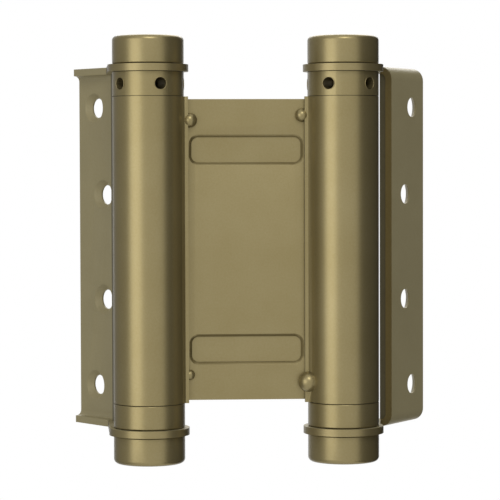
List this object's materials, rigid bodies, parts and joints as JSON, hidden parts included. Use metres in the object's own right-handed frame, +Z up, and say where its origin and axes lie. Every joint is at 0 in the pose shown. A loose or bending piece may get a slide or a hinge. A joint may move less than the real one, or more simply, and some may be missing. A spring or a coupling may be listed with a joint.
{
  "type": "double action spring hinge",
  "caption": "Double action spring hinge: spring barrels rolled from a pressed centre sheet, with a folded screw leaf turning on each.",
  "frame": {"origin": "centre of the flat end of the jamb barrel's bottom cap", "axes": "+Z up along the barrels, +X from the jamb barrel to the door barrel, -Y the side with the rolled seams"},
  "size_m": [0.0749, 0.0336, 0.0874],
  "materials": {
    "bronze_paint": "satin",
    "spring_steel": "satin"
  },
  "bodies": {
    "centre_body": {"centre_sheet": "bronze_paint", "jamb_spindle": "spring_steel", "jamb_top_cap": "bronze_paint", "jamb_bottom_cap": "bronze_paint", "jamb_bottom_plug": "bronze_paint", "door_spindle": "spring_steel", "door_top_cap": "bronze_paint", "door_bottom_cap": "bronze_paint", "door_bottom_plug": "bronze_paint"},
    "jamb_leaf_body": {"jamb_leaf": "bronze_paint"},
    "door_leaf_body": {"door_leaf": "bronze_paint"},
    "jamb_collar_body": {"jamb_tension_collar": "bronze_paint", "jamb_spring": "spring_steel"},
    "door_collar_body": {"door_tension_collar": "bronze_paint", "door_spring": "spring_steel"}
  },
  "joints": [
    {"name": "jamb_leaf_swing", "type": "hinge", "parent": "centre_body", "child": "jamb_leaf_body", "pos_m": [0, 0, 0.0437], "axis": [0, 0, 1], "range_deg": [0, 230]},
    {"name": "door_leaf_swing", "type": "hinge", "parent": "centre_body", "child": "door_leaf_body", "pos_m": [0.04, 0, 0.0437], "axis": [0, 0, 1], "range_deg": [-110, 120]},
    {"name": "jamb_collar_turn", "type": "hinge", "parent": "centre_body", "child": "jamb_collar_body", "pos_m": [0, 0, 0.0437], "axis": [0, 0, 1], "range_deg": [0, 216], "stiffness_Nm_per_rad": 0.05},
    {"name": "door_collar_turn", "type": "hinge", "parent": "centre_body", "child": "door_collar_body", "pos_m": [0.04, 0, 0.0437], "axis": [0, 0, 1], "range_deg": [0, 216], "stiffness_Nm_per_rad": 0.05}
  ]
}
